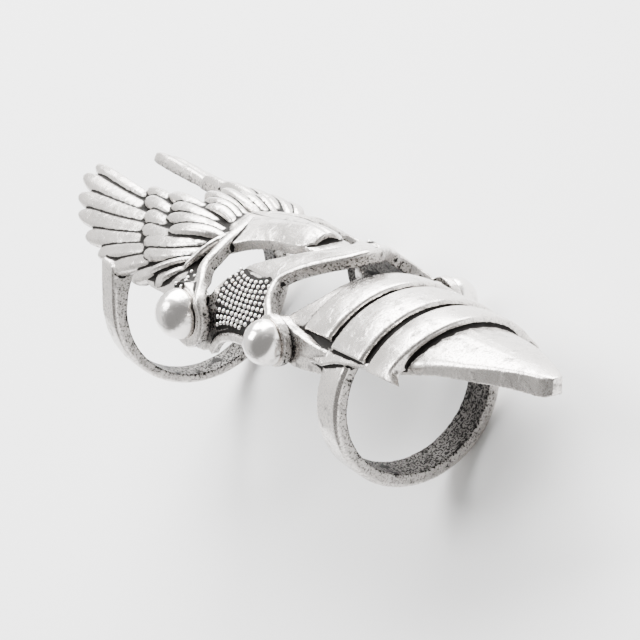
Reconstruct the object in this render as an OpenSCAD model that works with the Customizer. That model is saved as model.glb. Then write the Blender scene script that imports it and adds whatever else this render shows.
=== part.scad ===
// Knuckle armor ring: a rear wing section, a middle link plate and a front
// tip section, joined by two pairs of dome-headed rivets.
// The ring is modelled worn, with X along the finger towards the nail, Z up
// and Y across, and is then laid on its side as it rests on a table.

/* [Finger] */
// Inner radius of the rear band
rear_bore_r = 10.45; // [9.9:0.05:11]
// Inner radius of the front band
front_bore_r = 9.3; // [8.8:0.05:9.8]
// Distance from the rear band to the front band along the finger
band_pitch = 48.4; // [47.5:0.1:49.5]
// Height of the front band's centre over the rear band's
band_rise = 4.8; // [4.3:0.1:5.3]

/* [Bands] */
// Width of the rear band along the finger
rear_band_w = 3.2; // [2.4:0.1:4]
// Wall of the rear band under the finger
rear_band_t = 1.15; // [0.9:0.05:1.5]
// Wall of the rear band beside the finger
rear_band_side_t = 1.95; // [1.6:0.05:2.2]
// Height over its centre to which the rear band's sides run straight
rear_band_side_h = 6.0; // [5.4:0.1:6.4]
// Width of the front band along the finger
front_band_w = 4.2; // [3.4:0.1:5]
// Wall of the front band
front_band_t = 1.65; // [1.3:0.05:1.9]

/* [Hinges] */
// Rear rivets' place along the finger
rear_pivot_x = 20.4; // [20:0.1:20.8]
// Rear rivets' height over the rear band's centre
rear_pivot_z = 6.9; // [6.6:0.1:7.2]
// Front rivets' place along the finger
front_pivot_x = 38.2; // [37.8:0.1:38.6]
// Front rivets' height over the rear band's centre
front_pivot_z = 9.5; // [9.2:0.1:9.8]
// Radius of the rivets' shanks
shank_r = 1.0; // [0.8:0.05:1.2]
// Radial clearance of a shank in its holes
running_gap = 0.05; // [0.02:0.01:0.08]
// Gap between plates that turn on each other
plate_gap = 0.2; // [0.15:0.05:0.3]
// Thickness of the lugs and ears at the hinges
lug_t = 1.1; // [1:0.05:1.4]
// Gap between the finger and the innermost lug
finger_gap = 0.2; // [0.15:0.05:0.5]

/* [Rivets] */
// Radius of the rear rivets' domes
rear_dome_r = 2.95; // [2.6:0.05:3.1]
// Height of the rear rivets' domes
rear_dome_h = 3.4; // [2.6:0.1:3.6]
// Radius of the front rivets' domes
front_dome_r = 2.6; // [2.4:0.05:2.8]
// Height of the front rivets' domes
front_dome_h = 3.2; // [2.4:0.1:3.4]

/* [Wings] */
// Reach of the wing tips behind the rear band
wing_back = 17.3; // [16.5:0.1:18]
// Space between the finger and the inside of the wings
wing_gap = 1.15; // [1:0.05:1.3]
// Thickness of the long feathers at their middle line
feather_t = 1.9; // [1.6:0.05:2.1]
// Half width of a long feather
feather_half_w = 1.2; // [1.05:0.05:1.3]
// Depth of the grooves between feathers
groove_d = 0.55; // [0.4:0.05:0.7]
// Step from one row of feathers up to the next
row_step = 0.45; // [0.35:0.05:0.55]
// How far the wing tips flare out from the finger
wing_flare = 0.9; // [0.5:0.1:1.2]
// Thickness of the plate under the feathers
backing_t = 1.1; // [0.9:0.05:1.3]
// How far that plate spreads out to the rivets' lugs
lug_spread = 2.6; // [2.3:0.1:2.8]

/* [Stem and neck] */
// Width of the scroll stem
stem_w = 1.4; // [1.2:0.1:1.6]
// Depth of the scroll stem
stem_d = 1.7; // [1.5:0.1:1.9]
// Radius of the lug that carries a rear rivet
wing_lug_r = 3.6; // [3.4:0.1:3.8]
// Reach of the scroll around a rear rivet, at its middle line
scroll_r = 3.9; // [3.7:0.1:4.1]
// Height of the scroll rim around a rear rivet
scroll_h = 0.5; // [0.3:0.1:0.8]
// Half width of the neck where it is widest
neck_half_w = 5.9; // [5.6:0.1:6.2]
// Height of the neck's ridge over the plate under the feathers
ridge_h = 2.3; // [2:0.1:2.6]
// Thickness of the neck at its ridge
neck_t = 2.1; // [1.8:0.1:2.4]

/* [Link plate] */
// Thickness of the strap and the side fields
link_t = 1.1; // [1:0.05:1.4]
// Space between the finger's line and the inside of the side fields
link_in_r = 12.1; // [12:0.05:12.3]
// How far the strap's middle rises over the side fields
strap_rise = 1.0; // [0.8:0.1:1.3]
// Radius of the lug around a rear rivet
link_rear_lug_r = 3.0; // [2.7:0.1:3.2]
// Radius of the lug around a front rivet
link_front_lug_r = 3.0; // [2.7:0.1:3.2]
// Height of the raised front rim
rim_h = 0.5; // [0.3:0.05:0.7]
// Width of that rim, and of the lip between the rivets
rim_w = 1.0; // [0.8:0.1:1.3]
// Angle from the top down to which that rim runs
rim_end_a = 56; // [56:1:66]
// Height over the finger's line of the lip's front end
lip_rise = 4.2; // [4:0.1:4.6]

/* [Tip section] */
// Thickness of the base plate
base_t = 1.2; // [1:0.05:1.4]
// Space between the finger and the inside of the base plate
base_gap = 1.0; // [0.8:0.05:1.2]
// How far the base plate closes in on the finger at its front
base_closing = 0.7; // [0.5:0.05:0.9]
// How far the base plate's sides part at its front
base_parting = 1.6; // [1.2:0.1:2]
// Thickness of a lame over the base plate
lame_t = 0.75; // [0.6:0.05:0.9]
// Radius of the ears that turn on the front rivets
ear_r = 2.6; // [2.4:0.1:2.8]
// Reach of the nail plate ahead of the front band
nail_reach = 28.7; // [27:0.1:30]
// Half width of the nail plate where it leaves the last lame
nail_half_w = 7.4; // [6.8:0.1:7.8]
// Height over the finger's line at which the nail plate leaves the last lame
nail_rise = 10.4; // [10.2:0.1:10.6]
// Thickness of the nail plate at its point
nail_t = 2.4; // [2:0.1:2.6]
// Height of the nail's crown over its even curve
nail_crown = 0.12; // [0:0.02:0.3]
// Drop of the nail's rounded edge
nail_edge = 0.45; // [0.3:0.05:0.7]
// Drop of the lames' and the nail's softened edges
soft_edge = 0.15; // [0.1:0.05:0.25]

/* [Rest] */
// Roll from the worn pose to the far side, about the finger
rest_roll = -57; // [-90:0.1:0]
// Pitch that brings the far rear rivet and the front band down to the table together
rest_pitch = 4.2; // [0:0.1:10]

/* [Hidden] */
silver = [0.78, 0.77, 0.75];
dark_silver = [0.62, 0.61, 0.59];
round_fn = 72;
small_fn = 40;
// A cut that runs past a face
over = 0.5;
// Depth by which pieces of one casting run into each other
sink = 0.3;

// Height of the finger's line at a place along it
function rise(x) = x * band_rise / band_pitch;
// Point at length x, at angle a from the top and at distance r from the finger's line
function at(x, a, r) = [x, r * sin(a), rise(x) + r * cos(a)];
// The same, by its distance y from the middle plane
function beside(x, y, r) = [x, y, rise(x) + sqrt(r * r - y * y)];
// Value of the curve through three values, from 0 to 1
function through(p, m, q, t) = p * (1 - t) * (1 - 2 * t) + m * 4 * t * (1 - t) + q * t * (2 * t - 1);
function mix(p, q, t) = p * (1 - t) + q * t;

// Faces of a closed skin over rings of n points each
function skin_sides(rings, n) =
    [for (k = [0:rings - 2], i = [0:n - 1]) let (j = (i + 1) % n)
        each [[k * n + i, (k + 1) * n + j, (k + 1) * n + i], [k * n + i, k * n + j, (k + 1) * n + j]]];
function skin_caps(rings, n) =
    [for (i = [1:n - 2]) each [[0, i + 1, i],
                               [(rings - 1) * n, (rings - 1) * n + i, (rings - 1) * n + i + 1]]];

// Solid through a row of rings, closed by a fan at each end
module loft(rings) {
    n = len(rings[0]);
    polyhedron([for (r = rings) each r],
               concat(skin_sides(len(rings), n), skin_caps(len(rings), n)));
}

// Plate between two grids of points, rows by columns
module plate(outer, inner) {
    rows = len(outer);
    cols = len(outer[0]);
    n = rows * cols;
    function id(k, i) = k * cols + i;
    rim = concat([for (i = [0:cols - 2]) id(0, i)], [for (k = [0:rows - 2]) id(k, cols - 1)],
                 [for (i = [cols - 1:-1:1]) id(rows - 1, i)], [for (k = [rows - 1:-1:1]) id(k, 0)]);
    polyhedron(concat([for (r = outer) each r], [for (r = inner) each r]), concat(
        [for (k = [0:rows - 2], i = [0:cols - 2]) each [
            [id(k, i), id(k + 1, i), id(k + 1, i + 1)], [id(k, i), id(k + 1, i + 1), id(k, i + 1)],
            [n + id(k, i), n + id(k + 1, i + 1), n + id(k + 1, i)],
            [n + id(k, i), n + id(k, i + 1), n + id(k + 1, i + 1)]]],
        [for (e = [0:len(rim) - 1]) let (p = rim[e], q = rim[(e + 1) % len(rim)])
            each [[p, q, n + q], [p, n + q, n + p]]]));
}

// A strand through points, each with the angle that its crown faces, its half width and its depth
function unit(v) = v / norm(v);
module strand(points, outs, halves, depths) {
    last = len(points) - 1;
    loft([for (k = [0:last])
        let (out = [0, sin(outs[k]), cos(outs[k])],
             side = unit(cross(out, points[min(k + 1, last)] - points[max(k - 1, 0)])))
        [for (e = [[-1, -1], [-1, -0.15], [-0.5, 0], [0.5, 0], [1, -0.15], [1, -1]])
            points[k] + e[0] * halves[k] * side + e[1] * depths[k] * out]]);
}

// Near and far copies
module both_sides() {
    children();
    mirror([0, 1, 0]) children();
}

// One mesh from overlapping forms
module fused() {
    resize([0, 0, 0]) union() { children(); }
}

// Cylinder across the finger about a pivot, from y0 to y1 on the far side
module across(x, z, r, y0, y1, fn = small_fn) {
    translate([x, y0, z]) rotate([-90, 0, 0]) cylinder(r = r, h = y1 - y0, $fn = fn);
}

// Radius of the ball whose cap is a dome of this radius and height
function ball_r(r, h) = (r * r + h * h) / (2 * h);

// Faces of the plates at the hinges, by distance from the middle plane
link_rear_y = rear_bore_r + finger_gap;
wing_lug_y = link_rear_y + lug_t + plate_gap;
ear_y = front_bore_r + finger_gap;
link_front_y = ear_y + lug_t + plate_gap;

// Wings
wing_in_r = rear_bore_r + wing_gap;
wing_len = rear_pivot_x + wing_back;
function wing_x(share) = rear_pivot_x - share * wing_len;
function flare(x) = x < 0 ? wing_flare * pow(x / wing_back, 2) : 0;
chart_r = wing_in_r + feather_t;

// Feathers: root share, root angle, middle share, middle angle, tip share, tip angle, width share.
// A share runs from the rear rivets to the wing tips, and an angle from the top down the side.
LONG_FEATHERS = [
    [0.54, 19.5, 0.76, 20, 1.01, 18, 0.75],
    [0.49, 25, 0.74, 28.5, 1.0, 26.5, 0.95],
    [0.435, 30, 0.675, 35.5, 0.93, 38, 1],
    [0.395, 33, 0.605, 43, 0.865, 46.5, 1],
    [0.33, 37, 0.555, 49.5, 0.76, 55.5, 1],
    [0.275, 41, 0.475, 53, 0.645, 62, 0.95],
    [0.195, 42, 0.38, 55.5, 0.54, 66.5, 0.9],
    [0.145, 44, 0.265, 56, 0.395, 67, 0.85],
    [0.13, 48, 0.195, 57, 0.25, 62.5, 1]];
SECOND_ROW = [
    [0.41, 15.5, 0.53, 17.5, 0.67, 16.5, 0.7],
    [0.33, 24.5, 0.475, 24.5, 0.615, 23, 0.8],
    [0.275, 28, 0.41, 32, 0.535, 31, 0.85],
    [0.195, 27, 0.315, 37.5, 0.485, 39, 0.85],
    [0.13, 26, 0.25, 39.5, 0.43, 45, 0.85],
    [0.12, 33, 0.235, 46, 0.385, 51, 0.75]];
THIRD_ROW = [
    [0.25, 14.5, 0.37, 15.5, 0.535, 15.5, 0.75],
    [0.17, 17.5, 0.29, 20, 0.455, 21.5, 0.75],
    [0.135, 20, 0.24, 24.5, 0.41, 29, 0.75],
    [0.12, 23, 0.2, 28.5, 0.34, 35.5, 0.75]];
TOP_TUFT = [
    [0.135, 5, 0.29, 3.5, 0.425, 5, 0.65],
    [0.145, 9, 0.25, 7.5, 0.37, 10, 0.6],
    [0.15, 13, 0.225, 12, 0.315, 14.5, 0.6]];
STRANDS = [
    [0.1, 12, 0.095, 29, 0.135, 51, 0.4],
    [0.115, 40, 0.21, 50, 0.3, 60, 0.4],
    [0.105, 45, 0.16, 53, 0.215, 60.5, 0.45]];
// Along a feather: place, width share, height share
FEATHER_SECTIONS = [[0, 0.6, 0.35], [0.35, 0.92, 0.8], [0.7, 1.05, 1], [0.92, 0.88, 0.9], [1, 0.35, 0.55]];

// A feather's ring across its middle line, in the wing's curved surface
function feather_ring(f, s, top_r, low_r) =
    let (x = wing_x(through(f[0], f[2], f[4], s[0])),
         a = through(f[1], f[3], f[5], s[0]),
         step = 0.02,
         dx = wing_x(through(f[0], f[2], f[4], s[0] + step)) - x,
         da = (through(f[1], f[3], f[5], s[0] + step) - a) * PI / 180 * chart_r,
         w = f[6] * feather_half_w * s[1] / norm([dx, da]),
         sx = -da * w,
         sa = dx * w * 180 / PI / chart_r,
         crown = (top_r - low_r) * s[2])
    [for (e = [[-1, 0], [-1, crown - groove_d * s[2]], [0, crown], [1, crown - groove_d * s[2]], [1, 0]])
        at(x + sx * e[0], a + sa * e[0], low_r + e[1] + flare(x))];

module feathers(table, top_r, low_r) {
    for (f = table) loft([for (s = FEATHER_SECTIONS) feather_ring(f, s, top_r, low_r)]);
}

// Plate under the feathers: angle, back and front as shares, and how much of its spread each has
BACKING = [
    [10, 0.49, 0.13, 0, 0], [22, 0.7, 0.07, 0, 0], [32, 0.7, 0.06, 0, 0], [42, 0.64, 0.05, 0, 0],
    [50, 0.55, 0.01, 0, 0.35], [56, 0.47, -0.01, 0, 0.85], [61, 0.38, 0, 0.1, 0.9],
    [66, 0.26, 0.05, 0.25, 0.8]];
module backing() {
    cols = 5;
    function row(b, r) = [for (i = [0:cols]) let (x = wing_x(mix(b[1], b[2], i / cols)))
        at(x, b[0], r + flare(x) + lug_spread * mix(b[3], b[4], pow(i / cols, 3)))];
    plate([for (b = BACKING) row(b, wing_in_r + backing_t)], [for (b = BACKING) row(b, wing_in_r)]);
}

// Scroll stem from the ridge down to the rivet: share, angle, and the height of its crown over the
// backing as a share of its depth
STEM = [[0.13, 5, 0.5], [0.085, 16, 0.52], [0.065, 25.5, 0.55], [0.05, 35.3, 0.6], [0.04, 45, 0.7],
        [-0.005, 52.5, 0.95]];
// It goes on round the rivet: angle from the front, radius share, width share
SCROLL = [[40, 1.06, 1], [14, 1.05, 1], [-14, 1, 1], [-46, 0.93, 1], [-78, 0.86, 0.9], [-110, 0.8, 0.75],
          [-140, 0.74, 0.5]];
scroll_y = wing_lug_y + lug_t + scroll_h;
module stem() {
    half = stem_w / 2;
    strand(concat([for (s = STEM) at(wing_x(s[0]), s[1], wing_in_r + backing_t + stem_d * s[2])],
                  [for (s = SCROLL) [rear_pivot_x + scroll_r * s[1] * cos(s[0]), scroll_y,
                                     rear_pivot_z + scroll_r * s[1] * sin(s[0])]]),
           concat([for (s = STEM) s[1]], [for (s = SCROLL) 90]),
           concat([for (s = STEM) half], [for (s = SCROLL) half * s[2]]),
           concat([for (s = STEM) stem_d], [for (s = SCROLL) scroll_y - wing_lug_y - sink]));
}

// Roof-shaped neck over the knuckle: share ahead of the rivets' line, half width as a share of the
// widest, height of the ridge and of the edges as shares of the ridge's height
NECK = [
    [-0.42, 0.5, 0.22, 0.05], [-0.27, 0.85, 0.35, 0.05], [-0.13, 1, 0.48, 0.1], [0.03, 0.78, 0.65, 0.2],
    [0.2, 0.61, 0.83, 0.26], [0.37, 0.53, 1, 0.3], [0.5, 0.46, 1, 0.35], [0.585, 0.27, 0.91, 0.48]];
TONGUE = [[0.45, 0.44, 0.35, 0.26], [0.58, 0.42, 0.35, 0.26], [0.68, 0.37, 0.3, 0.22],
          [0.72, 0.27, 0.26, 0.22]];
pivot_pitch = front_pivot_x - rear_pivot_x;
module ridge(table, thick) {
    loft([for (s = table)
        let (x = rear_pivot_x + s[0] * pivot_pitch, w = s[1] * neck_half_w, r = wing_in_r + backing_t,
             top = r + s[2] * ridge_h, edge = r + s[3] * ridge_h, shoulder = mix(top, edge, 0.35))
        [beside(x, -w, edge - thick * 0.6), beside(x, -w, edge), beside(x, -w / 2, shoulder),
         beside(x, 0, top), beside(x, w / 2, shoulder), beside(x, w, edge),
         beside(x, w, edge - thick * 0.6), beside(x, 0, top - thick)]]);
}

// Rear band: round inside, straight-sided outside, open at the top between the wings
band_open_a = 25;
module rear_band() {
    out_r = rear_bore_r + rear_band_side_t;
    low_c = rear_band_side_t - rear_band_t;
    upper_r = rear_bore_r + wing_gap + 2 * sink;
    // Sketch coordinates: x up, y across
    rotate([0, -90, 0]) translate([0, 0, -rear_band_w / 2]) difference() {
        linear_extrude(rear_band_w) difference() {
            union() {
                intersection() {
                    translate([low_c, 0]) circle(r = out_r, $fn = round_fn);
                    translate([-2 * out_r, -2 * out_r]) square([2 * out_r + rear_band_side_h, 4 * out_r]);
                }
                translate([low_c, -out_r]) square([rear_band_side_h - low_c, 2 * out_r]);
                intersection() {
                    circle(r = upper_r, $fn = round_fn);
                    translate([0, -upper_r]) square([upper_r, 2 * upper_r]);
                }
            }
            reach = 2 * out_r;
            polygon([[0, 0], [reach, -reach * tan(band_open_a)], [reach, reach * tan(band_open_a)]]);
        }
        translate([0, 0, -over]) cylinder(r = rear_bore_r, h = rear_band_w + 2 * over, $fn = round_fn);
    }
}

module wing_section() color(silver) {
    long_r = wing_in_r + feather_t;
    difference() {
        union() {
            fused() {
                both_sides() {
                    feathers(LONG_FEATHERS, long_r, wing_in_r + sink);
                    feathers(SECOND_ROW, long_r + row_step, wing_in_r + sink);
                    feathers(THIRD_ROW, long_r + 2 * row_step, wing_in_r + sink);
                    feathers(TOP_TUFT, long_r + 2 * row_step, wing_in_r + sink);
                    feathers(STRANDS, long_r + row_step, wing_in_r + sink);
                    backing();
                    stem();
                }
                ridge(NECK, neck_t);
                ridge(TONGUE, neck_t * 0.6);
            }
            rear_band();
            both_sides()
                across(rear_pivot_x, rear_pivot_z, wing_lug_r, wing_lug_y, wing_lug_y + lug_t);
        }
        both_sides() {
            across(rear_pivot_x, rear_pivot_z, shank_r + running_gap, wing_lug_y - over, scroll_y + over);
            // Seat for the rivet's dome, inside the scroll
            across(rear_pivot_x, rear_pivot_z, ball_r(rear_dome_r, rear_dome_h) + running_gap,
                   wing_lug_y + lug_t, wing_lug_y + lug_t + rear_dome_h, round_fn);
            // Room for the link plate's lug and lip as they turn
            across(rear_pivot_x, rear_pivot_z, link_rear_lug_r + sink, 0, wing_lug_y);
        }
    }
}

// Link plate: angle, rear and front edges as shares of the pitch between the rivets, rise share
LINK_ROWS = [
    [0, 0.79, 1.08, 1], [8, 0.73, 1.05, 0.85], [15, 0.61, 0.945, 0.5], [22, 0.505, 0.845, 0.25],
    [29, 0.38, 0.76, 0.1], [35, 0.29, 0.72, 0.02], [41, 0.215, 0.74, 0], [47, 0.165, 0.79, 0],
    [52, 0.135, 0.865, 0], [56, 0.12, 0.925, 0], [60, 0.06, 0.99, 0], [66, -0.05, 1.08, 0],
    [72, -0.1, 0.96, 0], [77, -0.11, 0.38, 0], [84, -0.1, 0.235, 0], [89, -0.08, 0.1, 0]];
// A point of the plate, which is flat beside the finger where the lugs are
function link_at(share, a, r, thick) =
    let (x = rear_pivot_x + pivot_pitch * share,
         flat_y = mix(link_rear_y, link_front_y, share) + thick)
    [x, sign(a) * min((r + thick) * sin(abs(a)), flat_y), rise(x) + (r + thick) * cos(a)];

module link_shell() {
    cols = 4;
    rows = concat([for (k = [len(LINK_ROWS) - 1:-1:1]) let (b = LINK_ROWS[k]) [-b[0], b[1], b[2], b[3]]],
                  LINK_ROWS);
    function row(b, thick) = [for (i = [0:cols])
        let (r = link_in_r + b[3] * strap_rise * mix(0.6, 1, i / cols))
        link_at(mix(b[1], b[2], i / cols), b[0], r, thick)];
    plate([for (b = rows) row(b, link_t)], [for (b = rows) row(b, 0)]);
}

// Raised rim along the front edge, from the middle down to the rivet
module link_rim() {
    rim = [for (b = LINK_ROWS) if (b[0] <= rim_end_a) b];
    strand([for (b = rim) let (r = link_in_r + b[3] * strap_rise + rim_h * (1 - b[3] / 2))
               link_at(b[2] - 0.02, b[0], r, link_t)],
           [for (b = rim) b[0]],
           [for (b = rim) rim_w / 2], [for (b = rim) link_t + rim_h]);
}

// Lip under the side field, between the rivets: share of their pitch, share of the lip's rise
LIP = [[0.23, 0.21], [0.3, 0.55], [0.38, 0.76], [0.5, 0.9], [0.62, 0.95], [0.78, 1]];
module link_lip() {
    strand([for (s = LIP) let (x = rear_pivot_x + pivot_pitch * s[0])
               [x, mix(link_rear_y, link_front_y, s[0]) + lug_t + rim_h * 0.6, rise(x) + lip_rise * s[1]]],
           [for (s = LIP) 90], [for (s = LIP) rim_w / 2], [for (s = LIP) lug_t]);
}

module link_plate() color(silver) {
    difference() {
        union() {
            fused() {
                link_shell();
                both_sides() {
                    link_rim();
                    link_lip();
                }
            }
            both_sides() {
                across(rear_pivot_x, rear_pivot_z, link_rear_lug_r, link_rear_y, link_rear_y + lug_t);
                across(front_pivot_x, front_pivot_z, link_front_lug_r, link_front_y, link_front_y + lug_t);
            }
        }
        both_sides() {
            across(rear_pivot_x, rear_pivot_z, shank_r + running_gap, 0, scroll_y);
            across(front_pivot_x, front_pivot_z, shank_r + running_gap, 0, scroll_y);
            // Seat for the tip section's ear
            across(front_pivot_x, front_pivot_z, ear_r + sink, 0, link_front_y);
        }
    }
}

// Tip section
base_in_r = front_bore_r + base_gap;
tip_len = nail_reach;
function tip_x(share) = band_pitch + share * tip_len;
// Base plate: angle, rear and front edges as shares of the nail's reach
BASE_ROWS = [[0, -0.31, 0.34], [16, -0.315, 0.34], [30, -0.33, 0.34], [41, -0.375, 0.33], [50, -0.42, 0.33],
             [56, -0.34, 0.21], [61, -0.29, 0.02], [66, -0.26, -0.07]];
// Behind this share of the nail's reach the base plate keeps its size; it is closed in at the other
CLOSING = [-0.2, 0.35];
function closed(x) = max(0, (x - tip_x(CLOSING[0])) / (CLOSING[1] - CLOSING[0]) / tip_len);
function base_r(x) = base_in_r - base_closing * pow(closed(x), 1.4);

function base_at(x, a, t) =
    let (r = base_r(x) + t, flat_y = ear_y + t + base_parting * closed(x))
    [x, sign(a) * min(r * sin(abs(a)), flat_y), rise(x) + r * cos(a)];
module base_plate() {
    cols = 5;
    rows = concat([for (k = [len(BASE_ROWS) - 1:-1:1]) let (b = BASE_ROWS[k]) [-b[0], b[1], b[2]]],
                  BASE_ROWS);
    function row(b, t) = [for (i = [0:cols]) base_at(tip_x(mix(b[1], b[2], i / cols)), b[0], t)];
    plate([for (b = rows) row(b, base_t)], [for (b = rows) row(b, 0)]);
}

// Lames: back and front as shares, half angle, rise at the back and at the front,
// how far the front edge sweeps back at the sides and the lobe at its corner
LAMES = [[-0.258, -0.066, 51, 0.7, 1.05, 0, 0], [-0.042, 0.181, 54.5, 0.75, 1.1, 0, 0],
         [0.216, 0.395, 58, 0.7, 1.0, 0.045, 0.05]];
module lame(l) {
    turns = 14;
    function row(u, t) = [for (v = [0, 0.08, 0.5, 0.92, 1])
        let (side = pow(abs(u), 2), corner = abs(u) > 0.95 ? l[6] : 0,
             x = tip_x(mix(l[0], l[1] - l[5] * side + corner, v)), soft = v == 0 || v == 1 ? soft_edge : 0)
        at(x, l[2] * u, base_r(x) + (t ? base_t + lame_t * mix(l[3], l[4], v) - soft : 0.3 * base_t))];
    shares = [for (k = [0:turns]) mix(-1, 1, k / turns)];
    plate([for (u = shares) row(u, true)], [for (u = shares) row(u, false)]);
}

// Nail plate: share of its reach, half width share, share of its rise, thickness share
NAIL = [
    [0.33, 1, 1, 0.65], [0.42, 0.9, 0.995, 0.68], [0.52, 0.78, 0.99, 0.75], [0.66, 0.61, 0.97, 0.85],
    [0.79, 0.42, 0.948, 0.93], [0.89, 0.27, 0.925, 1], [0.965, 0.165, 0.906, 1], [1, 0.08, 0.89, 0.8]];
module nail() {
    loft([for (s = NAIL)
        let (x = tip_x(s[0]), w = nail_half_w * s[1], r = nail_rise * s[2], t = nail_t * s[3],
             crown = nail_crown * s[1], brow = r - soft_edge * s[1], edge = r - nail_edge)
        [[x, -w, beside(x, w, r)[2] - t], beside(x, -w, edge), beside(x, -w * 0.88, brow),
         beside(x, -w * 0.5, r), beside(x, 0, r + crown), beside(x, w * 0.5, r),
         beside(x, w * 0.88, brow), beside(x, w, edge), [x, w, beside(x, w, r)[2] - t],
         [x, w * 0.5, beside(x, w * 0.5, r)[2] - t], [x, 0, beside(x, 0, r)[2] - t],
         [x, -w * 0.5, beside(x, w * 0.5, r)[2] - t]]]);
}

// Web from an ear to the base plate and the band
module ear_web() {
    EAR_WEB = [[0, -0.95, 0.95, 0], [0.35, -0.9, 0.75, 0], [0.7, -0.75, 0.6, 0.3], [1, -0.6, 0.5, 0.75]];
    reach = band_pitch - front_band_w / 2 - front_pivot_x + sink;
    function column(s, y) = [for (v = [0, 1])
        [front_pivot_x + reach * s[0], y - s[3], front_pivot_z + ear_r * mix(s[1], s[2], v)]];
    plate([for (s = EAR_WEB) column(s, ear_y + lug_t)], [for (s = EAR_WEB) column(s, ear_y)]);
}

module front_band() {
    translate([band_pitch - front_band_w / 2, 0, band_rise]) rotate([0, 90, 0]) difference() {
        cylinder(r = front_bore_r + front_band_t, h = front_band_w, $fn = round_fn);
        translate([0, 0, -over]) cylinder(r = front_bore_r, h = front_band_w + 2 * over, $fn = round_fn);
    }
}

module tip_section() color(silver) {
    difference() {
        union() {
            fused() {
                base_plate();
                for (l = LAMES) lame(l);
                nail();
                both_sides() ear_web();
            }
            front_band();
            both_sides() across(front_pivot_x, front_pivot_z, ear_r, ear_y, ear_y + lug_t);
        }
        both_sides()
            across(front_pivot_x, front_pivot_z, shank_r + running_gap, 0, link_front_y);
    }
}

// Rivet: a dome over a plate's outer face, and a shank to a plate's inner face
module rivet(x, z, dome_r, dome_h, y_out, y_in) color(dark_silver) {
    seat = y_out + running_gap;
    ball = ball_r(dome_r, dome_h);
    across(x, z, shank_r, y_in, seat + sink);
    translate([x, seat, z]) rotate([-90, 0, 0]) intersection() {
        translate([0, 0, dome_h - ball]) sphere(r = ball, $fn = round_fn);
        cylinder(r = dome_r + over, h = dome_h + over, $fn = round_fn);
    }
}

module rear_rivet() {
    rivet(rear_pivot_x, rear_pivot_z, rear_dome_r, rear_dome_h, wing_lug_y + lug_t, link_rear_y);
}
module front_rivet() {
    rivet(front_pivot_x, front_pivot_z, front_dome_r, front_dome_h, link_front_y + lug_t, ear_y);
}

// Worn pose to the pose on the table
module lay() {
    rotate([0, rest_pitch, 0]) rotate([rest_roll, 0, 0]) children();
}

lay() wing_section();
lay() link_plate();
lay() tip_section();
lay() mirror([0, 1, 0]) rear_rivet();  // rear_rivet_near
lay() rear_rivet();  // rear_rivet_far
lay() mirror([0, 1, 0]) front_rivet();  // front_rivet_near
lay() front_rivet();  // front_rivet_far
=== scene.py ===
# %% [markdown]
# # Knuckle armor ring
# A full-finger ring in four kinds of pieces: a rear section with two wings, a link plate over the
# knuckle, a tip section shaped like a clawed fingertip, and the domed rivets that hinge them.
# The three plates are white-metal castings with an antique silver finish, so each one is modelled
# here as a wax would be: many simple forms are laid over each other and then fused into one skin.

import math

import bmesh
import bpy
import numpy as np
from mathutils import Matrix, Vector


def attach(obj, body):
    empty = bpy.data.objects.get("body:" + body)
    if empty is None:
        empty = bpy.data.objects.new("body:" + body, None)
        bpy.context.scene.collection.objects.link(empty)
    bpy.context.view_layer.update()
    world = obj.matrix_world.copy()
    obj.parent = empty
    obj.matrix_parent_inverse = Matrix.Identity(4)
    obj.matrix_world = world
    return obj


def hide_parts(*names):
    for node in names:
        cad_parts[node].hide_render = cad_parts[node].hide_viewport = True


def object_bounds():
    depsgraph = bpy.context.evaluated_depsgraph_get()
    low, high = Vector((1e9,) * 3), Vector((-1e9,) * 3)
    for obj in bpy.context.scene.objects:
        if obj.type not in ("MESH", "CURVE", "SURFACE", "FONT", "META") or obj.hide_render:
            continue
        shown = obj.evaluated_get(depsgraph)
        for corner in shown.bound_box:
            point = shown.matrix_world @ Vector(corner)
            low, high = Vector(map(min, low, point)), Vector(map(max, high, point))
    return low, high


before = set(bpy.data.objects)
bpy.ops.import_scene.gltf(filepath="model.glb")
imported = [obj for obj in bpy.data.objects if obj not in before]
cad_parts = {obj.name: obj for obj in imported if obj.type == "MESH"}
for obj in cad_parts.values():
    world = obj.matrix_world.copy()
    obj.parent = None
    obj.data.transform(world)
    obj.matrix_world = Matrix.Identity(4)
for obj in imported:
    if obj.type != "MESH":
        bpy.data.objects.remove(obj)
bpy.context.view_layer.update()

# %% [markdown]
# ## Sizes
# These are the real sizes in millimetres, the same as in the part's source. The ring is described
# as it is worn: X runs along the finger to the nail, Z is up from the back of the hand and Y goes
# across. A place on the plates is charted by its length x, its angle from the top of the finger
# and its distance r from the finger's own line, which climbs a little towards the nail.

# %% Sizes and the finger's chart
BAND_PITCH, BAND_RISE = 48.4, 4.8
REAR_BORE_R, FRONT_BORE_R = 10.45, 9.3
REAR_PIVOT_X, REAR_PIVOT_Z = 20.4, 6.9
FRONT_PIVOT_X, FRONT_PIVOT_Z = 38.2, 9.5
PIVOT_PITCH = FRONT_PIVOT_X - REAR_PIVOT_X
LUG_T, PLATE_GAP, FINGER_GAP = 1.1, 0.2, 0.2
REST_ROLL, REST_PITCH = math.radians(-57), math.radians(4.2)

LINK_REAR_Y = REAR_BORE_R + FINGER_GAP
WING_LUG_Y = LINK_REAR_Y + LUG_T + PLATE_GAP
EAR_Y = FRONT_BORE_R + FINGER_GAP
LINK_FRONT_Y = EAR_Y + LUG_T + PLATE_GAP

MM = 0.001


def rise(x):
    """Height of the finger's line at a place along it."""
    return x * BAND_RISE / BAND_PITCH


def at(x, a, r):
    """Point at length x, at angle a degrees from the top and at distance r from the finger's line."""
    x, a, r = np.broadcast_arrays(np.asarray(x, float), np.radians(a), r)
    return np.stack([x, r * np.sin(a), rise(x) + r * np.cos(a)], -1)


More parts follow.
